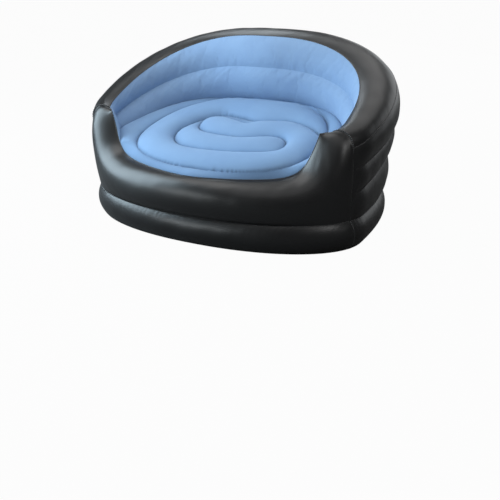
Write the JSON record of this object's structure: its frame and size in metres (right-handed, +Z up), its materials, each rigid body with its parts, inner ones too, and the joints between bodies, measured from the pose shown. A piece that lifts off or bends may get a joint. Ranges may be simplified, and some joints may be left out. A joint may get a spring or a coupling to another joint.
{
  "type": "inflatable sofa",
  "caption": "Inflatable tub sofa: rounded back sweeping down into low arms, lobed flocked lining, flocked seat with a spiral weld, and an air-filled base ring.",
  "frame": {"origin": "on the floor under the sofa, on its mirror plane, below the widest line of the base", "axes": "+Z up, the sofa faces -Y, +X to the right in a view from the front"},
  "size_m": [1.5574, 1.1869, 0.8506],
  "materials": {
    "black_vinyl": "satin PVC sheet",
    "blue_flock": "short flock on PVC sheet",
    "grey_vinyl": "plain PVC sheet",
    "valve_plastic": "soft moulded PVC"
  },
  "bodies": {
    "sofa_body": {"base_bottom_sheet": "black_vinyl", "base_band_front": "black_vinyl", "base_band_rear": "black_vinyl", "chamber_divider": "grey_vinyl", "front_panel": "black_vinyl", "outer_wall": "black_vinyl", "rim_panel": "black_vinyl", "back_lining": "blue_flock", "seat_top": "blue_flock", "lower_tie_band": "grey_vinyl", "upper_tie_band": "grey_vinyl", "seat_coil_band": "grey_vinyl", "seat_ring_band": "grey_vinyl", "base_valve_housing": "valve_plastic", "body_valve_housing": "valve_plastic"},
    "base_insert": {"base_valve_insert": "valve_plastic"},
    "base_cap": {"base_valve_cap": "valve_plastic"},
    "base_flap": {"base_valve_flap": "grey_vinyl"},
    "body_insert": {"body_valve_insert": "valve_plastic"},
    "body_cap": {"body_valve_cap": "valve_plastic"},
    "body_flap": {"body_valve_flap": "grey_vinyl"}
  },
  "joints": [
    {"name": "base_insert_pull", "type": "slide", "parent": "sofa_body", "child": "base_insert", "axis": [0.0978, 0.9943, -0.0433], "range_m": [0, 0.02]},
    {"name": "base_cap_hinge", "type": "hinge", "parent": "base_insert", "child": "base_cap", "pos_m": [0.17995, 0.72558, 0.08524], "axis": [0.9952, -0.0979, 0], "range_deg": [0, 150]},
    {"name": "base_flap_hinge", "type": "hinge", "parent": "base_insert", "child": "base_flap", "pos_m": [0.17784, 0.70409, 0.07907], "axis": [-0.9952, 0.0979, 0], "range_deg": [0, 60]},
    {"name": "body_insert_pull", "type": "slide", "parent": "sofa_body", "child": "body_insert", "axis": [-0.104, 0.9937, -0.0406], "range_m": [0, 0.02]},
    {"name": "body_cap_hinge", "type": "hinge", "parent": "body_insert", "child": "body_cap", "pos_m": [-0.18536, 0.74708, 0.26726], "axis": [0.9946, 0.1041, 0], "range_deg": [0, 150]},
    {"name": "body_flap_hinge", "type": "hinge", "parent": "body_insert", "child": "body_flap", "pos_m": [-0.18311, 0.72562, 0.26103], "axis": [-0.9946, -0.1041, 0], "range_deg": [0, 60]}
  ]
}
